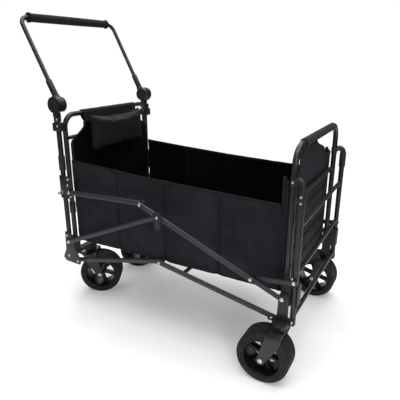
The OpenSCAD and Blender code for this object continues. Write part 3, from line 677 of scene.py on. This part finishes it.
def floor_point(u, v):
    x = FLOOR_LOW.x + u * FLOOR_LENGTH
    y = FLOOR_LOW.y + v * FLOOR_WIDTH
    along = u * PANELS
    seam = abs(along - round(along)) * FLOOR_LENGTH / PANELS
    z = (FLOOR_LOW.z + FLOOR_HIGH.z) / 2 + 1.0 * MM
    if 0 < round(along) < PANELS:
        z -= 3.2 * MM * math.exp(-(seam / (6 * MM)) ** 2)
    z += 1.1 * MM * ripple(x, y, 5.0, 5.0)
    return Vector((x, y, z))


def basket_floor():
    board = cloth("floor_board", 70, 120, floor_point, INNER_CLOTH, INNER_CLOTH, 2.4 * MM)
    rows = []
    for seam in range(1, PANELS):
        for offset in (-FLOOR_STITCHES, FLOOR_STITCHES):
            u = seam / PANELS + offset / FLOOR_LENGTH
            row = [floor_point(u, 0.03 + 0.94 * k / 60) for k in range(61)]
            rows.append([at + Vector((0, 0, 1.4 * MM)) for at in row])
    seams = stitches("floor_stitches", rows)
    rests(board, "root", "inner_fabric", "basket_floor", "basket_sides")
    rests(seams, "root", "inner_fabric")
    closes_up(board)
    closes_up(seams)


# ---- front wall, with a gusset round each corner ----

WALL_LOW, WALL_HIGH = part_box("basket_front_wall")
WALL_X = WALL_HIGH.x - HALF_CAD_CLOTH
WALL_Y = WALL_HIGH.y - HALF_CAD_CLOTH
CORNER_R = 7 * MM
GUSSET_TOP = WALL_HIGH.z
WALL_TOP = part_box("front_flap")[0].z - 1 * MM
WALL_SEAMS = 6


def wall_plan():
    """Plan of the front wall from one gusset's rear edge round to the other's, as (x, y)."""
    plan = []
    start = WALL_LOW.x
    for i in range(5):
        plan.append((start + (WALL_X - CORNER_R - start) * i / 5, -WALL_Y))
    for i in range(7):
        angle = math.pi / 2 * i / 6
        plan.append((WALL_X - CORNER_R * (1 - math.sin(angle)), -WALL_Y + CORNER_R * (1 - math.cos(angle))))
    half = WALL_Y - CORNER_R
    straight = [(WALL_X, -half + 2 * half * i / 80) for i in range(1, 80)]
    return plan + straight + [(x, -y) for x, y in reversed(plan)]


def front_wall():
    plan = wall_plan()
    last = len(plan) - 1

    def place(u, v):
        x, y = plan[round(u * last)]
        corner = ease((WALL_X - x) / (WALL_X - WALL_LOW.x))
        top = WALL_TOP + (GUSSET_TOP - WALL_TOP) * corner
        z = WALL_LOW.z + v * (top - WALL_LOW.z)
        seam = v * WALL_SEAMS
        groove = math.exp(-(abs(seam - round(seam)) / 0.07) ** 2) if 0 < round(seam) < WALL_SEAMS else 0.0
        flat = ease((WALL_Y - abs(y)) / (25 * MM))
        inwards = flat * (3.6 * MM * groove + 1.4 * MM * abs(ripple(3.0, y, z, 7.0)))
        return Vector((x - inwards, y, z))

    wall = cloth("front_wall", 120, len(plan), place, OUTER_CLOTH, INNER_CLOTH)
    wall.data.materials.append(BLACK_CLOTH)
    wall.data.materials.append(INNER_CLOTH)
    for face in wall.data.polygons:
        if abs(face.center.y) < WALL_Y - CORNER_R:
            face.material_index = 2
    edge = [place(i / last, 1.0) for i in range(len(plan))]
    out = []
    for i in range(len(edge)):
        along = edge[min(i + 1, last)] - edge[max(i - 1, 0)]
        out.append(Vector((along.y, -along.x, 0)).normalized())
    up = [Vector((0, 0, 1))] * len(edge)
    hem = sweep("front_wall_hem", edge, out, up, binding_profile(11 * MM, 1.7 * MM), BINDING)
    trims = [hem]
    for side, label in ((RIGHT, "right"), (LEFT, "left")):
        u = 0.0 if side == RIGHT else 1.0
        post = [place(u, k / 60) for k in range(61)]
        back = [Vector((-1, 0, 0))] * len(post)
        sideways = [Vector((0, side, 0))] * len(post)
        tape = binding_profile(9 * MM, 2.0 * MM)
        trims.append(sweep("corner_binding_" + label, post, sideways, back, tape, BINDING))
    rows = []
    for seam in range(1, WALL_SEAMS):
        for offset in (-0.014, 0.014):
            v = seam / WALL_SEAMS + offset
            rows.append([place(k / last, v) + Vector((1.0 * MM, 0, 0)) for k in range(14, last - 13)])
    trims.append(stitches("front_wall_stitches", rows))
    rests(wall, "front_frame", "outer_fabric", "basket_front_wall")
    for trim in trims:
        rests(trim, "front_frame", "inner_fabric")


# ---- padded front flap ----

FLAP_LOW, FLAP_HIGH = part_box("front_flap")
FLAP_X = WALL_HIGH.x + 2.1 * MM
FLAP_FOOT = 602 * MM
FLAP_THICK = 1.2 * MM
FLAP_FAR = 157 * MM
# Where the flap's top edge runs, as (y, z): along the bar, then down over a loose far corner
FLAP_TOP = [(y * MM, z * MM) for y, z in (
    (-175, 739), (-4, 739), (12, 731), (30, 718), (60, 708),
    (90, 700), (118, 690), (136, 679), (148, 664), (157, 640))]


def flap_top(y):
    for (y0, z0), (y1, z1) in zip(FLAP_TOP, FLAP_TOP[1:]):
        if y <= y1:
            return z0 + (z1 - z0) * max(0.0, (y - y0) / (y1 - y0))
    return FLAP_TOP[-1][1]


def front_flap():
    """Two layers of cloth, pinched together round the edge, that hang in front of the wall."""
    rows, columns = 50, 90
    points = []
    for face in (1, -1):
        for r in range(rows):
            v = (1 - math.cos(math.pi * r / (rows - 1))) / 2
            for c in range(columns):
                u = (1 - math.cos(math.pi * c / (columns - 1))) / 2
                y = FLAP_LOW.y + u * (FLAP_FAR - FLAP_LOW.y)
                z = FLAP_FOOT + v * (flap_top(y) - FLAP_FOOT)
                edge = (1 - abs(2 * u - 1) ** 10) * (1 - abs(2 * v - 1) ** 10)
                sag = 0.5 * MM * edge * ripple(3.0, y, z, 12.0)
                points.append(Vector((FLAP_X + face * FLAP_THICK / 2 * edge ** 0.5 + sag, y, z)))
    size = rows * columns
    front = grid_faces(rows, columns)
    faces = front + [tuple(reversed([i + size for i in f])) for f in front]
    flap = piece("front_flap_pad", points, faces, OUTER_CLOTH)
    work = bmesh.new()
    work.from_mesh(flap.data)
    bmesh.ops.remove_doubles(work, verts=work.verts, dist=0.02 * MM)
    bmesh.ops.recalc_face_normals(work, faces=work.faces)
    work.to_mesh(flap.data)
    work.free()
    flap.data.shade_smooth()
    near, far = (Vector((FLAP_X, y, flap_top(y))) for y in (FLAP_LOW.y, FLAP_FAR))
    near_foot, far_foot = (Vector((FLAP_X, y, FLAP_FOOT)) for y in (FLAP_LOW.y, FLAP_FAR))
    top = [near.lerp(far, k / 120) for k in range(1, 120)]
    for at in top:
        at.z = flap_top(at.y)
    near_side = [near_foot.lerp(near, k / 40) for k in range(41)]
    far_side = [far.lerp(far_foot, k / 20) for k in range(21)]
    piping = round_cord("front_flap_piping", near_side + top + far_side, 1.3 * MM, BINDING)
    rests(flap, "front_frame", "outer_fabric", "front_flap")
    rests(piping, "front_frame", "inner_fabric")


# ---- rear wall, with the panel that goes up to the top bar ----

REAR_LOW, REAR_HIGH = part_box("basket_rear_wall")
REAR_X = (REAR_LOW.x + REAR_HIGH.x) / 2
FRAME_LOW, FRAME_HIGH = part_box("rear_inner_frame")
TUBE_R = (FRAME_HIGH.x - FRAME_LOW.x) / 2
BAR_AT = Vector((FRAME_HIGH.x - TUBE_R, 0, FRAME_HIGH.z - TUBE_R))
PANEL_HALF = 170 * MM
SLEEVE_HALF = 164 * MM
SLEEVE_FOOT = 752 * MM
SLEEVE_STITCHES = 159
SHOULDER = (676 * MM, 744 * MM)


def rear_half_width(z):
    wide = REAR_HIGH.y
    drop = ease((z - SHOULDER[0]) / (SHOULDER[1] - SHOULDER[0])) ** 1.2
    return wide + (PANEL_HALF - wide) * drop


def rear_point(u, v):
    z = REAR_LOW.z + v * (SLEEVE_FOOT + 4 * MM - REAR_LOW.z)
    y = (1 - 2 * u) * rear_half_width(z)
    lower = 1 - ease((z - 0.60) / 0.04)
    x = REAR_X + lower * (3.0 * MM * (1 - (y / REAR_HIGH.y) ** 4) + 1.8 * MM * ripple(9.0, y, z, 6.0))
    return Vector((x, y, z))


def rear_wall():
    wall = cloth("rear_wall", 110, 100, rear_point, BLACK_CLOTH, INNER_CLOTH)
    trims = []
    for u, label in ((1.0, "right"), (0.0, "left")):
        edge = [rear_point(u, k / 90) for k in range(91)]
        sideways = [Vector((0, -1 if u else 1, 0))] * len(edge)
        facing = [Vector((1, 0, 0))] * len(edge)
        trims.append(sweep("rear_wall_binding_" + label, edge, facing, sideways,
                           binding_profile(9 * MM, 1.7 * MM), BINDING))
    rests(wall, "root", "inner_fabric", "basket_rear_wall", "rear_panel")
    for trim in trims:
        rests(trim, "root", "inner_fabric")


def bar_sleeve():
    """Cloth that goes up over the rear bar and comes back down to the panel."""
    over = 12.4 * MM
    front_x, back_x = REAR_X + 1.4 * MM, REAR_X - 1.4 * MM
    # Where it leaves the bar, in degrees round it from the front
    front_turn, back_turn = -8, 215

    def place(u, v):
        y = (1 - 2 * v) * SLEEVE_HALF
        gather = 0.6 * MM * ripple(y * 3, 4.0, u, 12.0)
        if u < 0.25 or u > 0.75:
            down = 1 - (u if u < 0.25 else 1 - u) / 0.25
            at = Vector((front_x if u < 0.25 else back_x, y, SLEEVE_FOOT))
            angle = math.radians(front_turn if u < 0.25 else back_turn)
            top = BAR_AT + Vector((math.cos(angle), 0, math.sin(angle))) * over
            top.y = y
            return top.lerp(at, down) + Vector((gather * (1 - down), 0, 0))
        angle = math.radians(front_turn + (back_turn - front_turn) * (u - 0.25) / 0.5)
        reach = over + gather
        return Vector((BAR_AT.x + reach * math.cos(angle), y, BAR_AT.z + reach * math.sin(angle)))

    sleeve = cloth("rear_bar_sleeve", 90, 49, place, BLACK_CLOTH, INNER_CLOTH, 1.0 * MM)
    rows = [[Vector((REAR_X + 2.3 * MM, y * MM, SLEEVE_FOOT + lift * MM))
             for y in range(-SLEEVE_STITCHES, SLEEVE_STITCHES + 1, 3)]
            for lift in (3, 8)]
    seams = stitches("rear_sleeve_stitches", rows)
    rests(sleeve, "root", "inner_fabric")
    rests(seams, "root", "inner_fabric")


# ---- pillow on the rear panel, inflated as cloth ----

PAD_LOW, PAD_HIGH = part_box("rear_pad")
PAD_VOXEL = 5 * MM
PAD_START_THICK = 26 * MM
PAD_CAP = 13 * MM
PAD_FRAMES = 20
PAD_MARGIN = 6 * MM
PIPING_POINTS = 160


def evaluated_mesh(obj):
    return bpy.data.meshes.new_from_object(obj.evaluated_get(bpy.context.evaluated_depsgraph_get()))


def pillow():
    centre = (PAD_LOW + PAD_HIGH) / 2
    centre.x = PAD_LOW.x + 0.47 * (PAD_HIGH.x - PAD_LOW.x)
    size = Vector((PAD_START_THICK, PAD_HIGH.y - PAD_LOW.y - 2 * PAD_MARGIN,
                   PAD_HIGH.z - PAD_LOW.z - 2 * PAD_MARGIN))
    work = bmesh.new()
    bmesh.ops.create_cube(work, size=1.0)
    bmesh.ops.scale(work, vec=size, verts=work.verts)
    bmesh.ops.translate(work, vec=centre, verts=work.verts)
    bmesh.ops.bevel(work, geom=work.edges[:], offset=10 * MM, segments=3, affect="EDGES")
    mesh = bpy.data.meshes.new("rear_pillow")
    work.to_mesh(mesh)
    work.free()
    obj = bpy.data.objects.new("rear_pillow", mesh)
    bpy.context.scene.collection.objects.link(obj)
    remesh = obj.modifiers.new("remesh", "REMESH")
    remesh.mode = "VOXEL"
    remesh.voxel_size = PAD_VOXEL
    obj.data = evaluated_mesh(obj)
    obj.modifiers.clear()
    before = [v.co.copy() for v in obj.data.vertices]
    inflate(obj)
    lowest_x = PAD_LOW.x + 0.8 * MM
    for vertex, start in zip(obj.data.vertices, before):
        move = vertex.co - start
        if move.length > PAD_CAP:
            move *= PAD_CAP / move.length
        at = start + move
        across, height = (at.y - centre.y) / size.y * 2, (at.z - centre.z) / size.z * 2
        # The sides pull in between the corners, and the middle crowns
        at.y -= 7 * MM * across ** 3 * (1 - min(height ** 2, 1.0))
        at.z -= 6 * MM * height ** 3 * (1 - min(across ** 2, 1.0))
        crown = max(0.0, 1 - abs(across) ** 2.6) * max(0.0, 1 - abs(height) ** 2.2)
        at.x += (5 * MM * crown + 1.2 * MM * ripple(at.x, at.y, at.z, 16.0)) * (1 if at.x > centre.x else 0)
        at.x = max(at.x, lowest_x)
        vertex.co = at
    finer = obj.modifiers.new("finer", "SUBSURF")
    finer.levels = finer.render_levels = 1
    obj.data = evaluated_mesh(obj)
    obj.modifiers.clear()
    obj.data.materials.clear()
    obj.data.materials.append(BLACK_CLOTH)
    obj.data.shade_smooth()
    tree = BVHTree.FromPolygons([v.co for v in obj.data.vertices], [p.vertices[:] for p in obj.data.polygons])
    path = []
    for i in range(PIPING_POINTS):
        angle = 2 * math.pi * i / PIPING_POINTS
        towards = Vector((0, math.cos(angle) * size.y / size.z, math.sin(angle))).normalized()
        hit = tree.ray_cast(centre + towards, -towards)[0]
        path.append(hit + towards * 0.4 * MM)
    piping = round_cord("rear_pillow_piping", path, 2.0 * MM, BINDING, closed=True)
    rests(obj, "root", "inner_fabric", "rear_pad")
    rests(piping, "root", "inner_fabric")


def inflate(obj):
    """Blows the closed mesh up as cloth, without gravity, and keeps the result."""
    modifier = obj.modifiers.new("cloth", "CLOTH")
    modifier.settings.quality = 6
    modifier.settings.mass = 0.3
    modifier.settings.use_pressure = True
    modifier.settings.uniform_pressure_force = 4.0
    modifier.settings.effector_weights.gravity = 0.0
    modifier.point_cache.frame_end = PAD_FRAMES
    scene = bpy.context.scene
    for step in range(1, PAD_FRAMES + 1):
        scene.frame_set(step)
    obj.data = evaluated_mesh(obj)
    obj.modifiers.clear()
    scene.frame_set(1)


# ---- grips ----


def handle_grip():
    low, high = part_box("handle_grip")
    centre = (low + high) / 2
    half = (high.y - low.y) / 2
    radius = (high.z - low.z) / 2
    body, bore = radius - 3 * MM, radius - 10.3 * MM
    flange = [(radius - 1 * MM, 0.0), (radius, 1 * MM), (radius, 4 * MM), (radius - 1 * MM, 5 * MM)]
    outer = [(r, -half + a) for r, a in flange]
    steps = 48
    for i in range(steps + 1):
        along = -half + 6 * MM + (2 * half - 12 * MM) * i / steps
        swell = 0.7 * MM * (1 - (along / half) ** 2)
        outer.append((body + swell, along))
    outer += [(r, half - a) for r, a in reversed(flange)]
    profile = [(bore, -half + 0.5 * MM)] + outer + [(bore, half - 0.5 * MM)]
    grip = lathe("foam_grip", profile, centre, (0, 1, 0), 64, FOAM)
    smooth(grip)
    rests(grip, "handle_bar", "grip_foam", "handle_grip")


def front_sleeve():
    low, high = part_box("front_bar_sleeve")
    centre = (low + high) / 2
    half = (high.y - low.y) / 2
    radius = (high.z - low.z) / 2
    steps = 176
    outer = []
    for i in range(steps + 1):
        along = -half + 2 * half * i / steps
        end = min(1.0, (half - abs(along)) / (3 * MM))
        rib = 0.4 * MM * (i % 2)
        outer.append((radius - 1.2 * MM * (1 - end) - rib, along))
    profile = [(radius - 3.9 * MM, -half)] + outer + [(radius - 3.9 * MM, half)]
    sleeve = lathe("front_foam_sleeve", profile, centre, (0, 1, 0), 56, FOAM)
    rests(sleeve, "front_frame", "grip_foam", "front_bar_sleeve")


# ---- wheels ----

TYRE_HALF = 43 * MM
BEAD_DEPTH = 21 * MM
AXLE_HEAD = TYRE_HALF + 8.6 * MM
TREAD_GROOVES = 7
TREAD_PITCH = 10 * MM
SPOKES = 6


def tyre_profile(radius):
    bead = radius - BEAD_DEPTH
    side = TYRE_HALF
    left = [(bead, 2 * MM - side), (bead + 2 * MM, -side), (bead + 5 * MM, -side),
            (bead + 6 * MM, -side + 0.8 * MM), (bead + 8 * MM, -side + 0.8 * MM), (bead + 9 * MM, -side),
            (radius - 7 * MM, -side + 0.4 * MM), (radius - 4 * MM, -side + 1.6 * MM),
            (radius - 2 * MM, -side + 3.6 * MM), (radius - 0.7 * MM, -side + 6.4 * MM)]
    tread = []
    first = -TREAD_PITCH * (TREAD_GROOVES - 1) / 2
    for i in range(TREAD_GROOVES):
        at = first + i * TREAD_PITCH
        for r, a in ((0, -2.1), (-0.4, -1.7), (-4.0, -1.3), (-4.0, 1.3), (-0.4, 1.7), (0, 2.1)):
            tread.append((radius + r * MM, at + a * MM))
    return left + tread + [(r, -a) for r, a in reversed(left)]


def rim_profile(radius):
    """Deep barrel with a rolled lip on each side."""
    outer = radius - BEAD_DEPTH
    half = TYRE_HALF - 1.5 * MM
    lip = [(outer - 1 * MM, -half), (outer - 3 * MM, -half - 0.8 * MM), (outer - 5 * MM, -half + 0.4 * MM),
           (outer - 6 * MM, -half + 3 * MM), (outer - 7.5 * MM, -half + 6 * MM),
           (outer - 9 * MM, -half + 16 * MM), (outer - 9.6 * MM, -half + 26 * MM)]
    return [(outer, -half + 1 * MM)] + lip + [(r, -a) for r, a in reversed(lip)] + [(outer, half - 1 * MM)]


def spoke_points(radius, angle):
    """Corner points of one spoke, wider and thinner towards the barrel."""
    outer = radius - 29 * MM
    cos, sin = math.cos(angle), math.sin(angle)
    # Radius, half width and half depth
    stations = ((13 * MM, 5.5 * MM, 15 * MM), (30 * MM, 5.0 * MM, 12 * MM),
                (outer - 8 * MM, 6.5 * MM, 11 * MM), (outer, 10 * MM, 11.5 * MM))
    points = []
    for r, wide, deep in stations:
        for across, along in ((-1, -1), (1, -1), (1, 1), (-1, 1)):
            y = across * wide
            points.append((r * cos - y * sin, r * sin + y * cos, along * deep))
    return points


def wheel_spokes(label, radius, centre, axis):
    side = axis.orthogonal().normalized()
    turn = Matrix((side, axis.cross(side), axis)).transposed()
    points, faces = [], []
    for i in range(SPOKES):
        first = len(points)
        points += [centre + turn @ Vector(p) for p in spoke_points(radius, 2 * math.pi * i / SPOKES)]
        faces += [tuple(first + k for k in face) for face in grid_faces(4, 4, False, True)]
        faces += [tuple(first + k for k in (0, 1, 2, 3)), tuple(first + k for k in (12, 13, 14, 15))]
    spokes = piece("spokes_" + label, points, faces, RIM_PLASTIC)
    face_outwards(spokes)
    bevel = spokes.modifiers.new("soften", "BEVEL")
    bevel.width = 1.6 * MM
    bevel.segments = 2
    return spokes


def wheel_hub(label, centre, axis):
    end = TYRE_HALF + 2.4 * MM
    profile = [(5.1 * MM, -end), (10 * MM, -end), (11 * MM, -end + 1 * MM), (11 * MM, -end + 9 * MM),
               (15.5 * MM, -end + 13 * MM), (16.5 * MM, -17 * MM)]
    mirrored = [(r, -a) for r, a in reversed(profile)]
    return lathe("hub_" + label, profile + mirrored, centre, axis, 48, RIM_PLASTIC)


def wheel(label, joint_name):
    joint = JOINTS[joint_name]
    centre, axis = Vector(joint["pos_m"]), Vector(joint["axis"]).normalized()
    radius = centre.z
    body = joint["child"]
    tyre = lathe("tread_" + label, tyre_profile(radius), centre, axis, 120, TYRE)
    smooth(tyre)
    rests(tyre, body, "tyre_rubber", "tyre_" + label)
    rim = lathe("rim_" + label, rim_profile(radius), centre, axis, 96, RIM_PLASTIC)
    spokes = wheel_spokes(label, radius, centre, axis)
    hub = wheel_hub(label, centre, axis)
    smooth(hub)
    smooth(rim)
    smooth(spokes)
    rests(rim, body, "rim_plastic", "wheel_" + label)
    rests(spokes, body, "rim_plastic")
    rests(hub, body, "rim_plastic")


# ---- zinc heads on the pivots ----

LINK_FACE_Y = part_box("long_links")[1].y
# Along the long link from its middle pivot; forwards is plus
UPPER_PIVOT_ALONG = -82 * MM
LOCK_PIN_ALONG = 372 * MM


def rivet_head(name, centre, out, radius, height, body):
    """Domed head that sits on a pivot, facing out."""
    profile = [(0.2 * MM, 0.0), (radius, 0.0), (radius * 0.98, height * 0.3), (radius * 0.8, height * 0.68),
               (radius * 0.5, height * 0.92), (0.2 * MM, height)]
    head = lathe(name, profile, centre, out, 24, ZINC)
    rests(head, body, "rivet_steel")


def rivet_heads():
    along = Vector((math.cos(LINK_RISE), 0, -math.sin(LINK_RISE)))
    # Place along the link, height over its face, radius, body
    link_pins = ((0.0, 6.6 * MM, 5.2 * MM, "rear_link_pair"),
                 (UPPER_PIVOT_ALONG, 0.0, 6.0 * MM, "long_link_pair"),
                 (LOCK_PIN_ALONG, 0.0, 6.0 * MM, "long_link_pair"))
    rail_at = Vector(JOINTS["front_rail_swing"]["pos_m"])
    rail_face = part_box("front_rails")[1].y
    for side, hand in ((RIGHT, "right"), (LEFT, "left")):
        out = Vector((0, side, 0))
        for count, (offset, lift, radius, body) in enumerate(link_pins, 1):
            at = MID_PIVOT + along * offset
            at.y = side * (LINK_FACE_Y + lift)
            rivet_head(f"link_rivet_{count}_{hand}", at, out, radius, 2.2 * MM, body)
        at = Vector((rail_at.x, side * rail_face, rail_at.z))
        rivet_head("rail_rivet_" + hand, at, out, 5.6 * MM, 2 * MM, "rear_rail_pair")
        for end in ("front", "rear"):
            joint = JOINTS[f"wheel_{end}_{hand}_spin"]
            axis = Vector(joint["axis"]).normalized()
            for way, label in ((1, "in"), (-1, "out")):
                at = Vector(joint["pos_m"]) + axis * way * AXLE_HEAD
                rivet_head(f"axle_head_{end}_{hand}_{label}", at, axis * way, 8.3 * MM, 2.6 * MM,
                           f"caster_{end}_{hand}")


make_camera()
make_stage()
side_wall(RIGHT, "right")
side_wall(LEFT, "left")
basket_floor()
front_wall()
front_flap()
rear_wall()
bar_sleeve()
pillow()
handle_grip()
front_sleeve()
for end in ("front", "rear"):
    for hand in ("right", "left"):
        wheel(f"{end}_{hand}", f"wheel_{end}_{hand}_spin")
rivet_heads()

bpy.context.scene.view_settings.view_transform = "Standard"
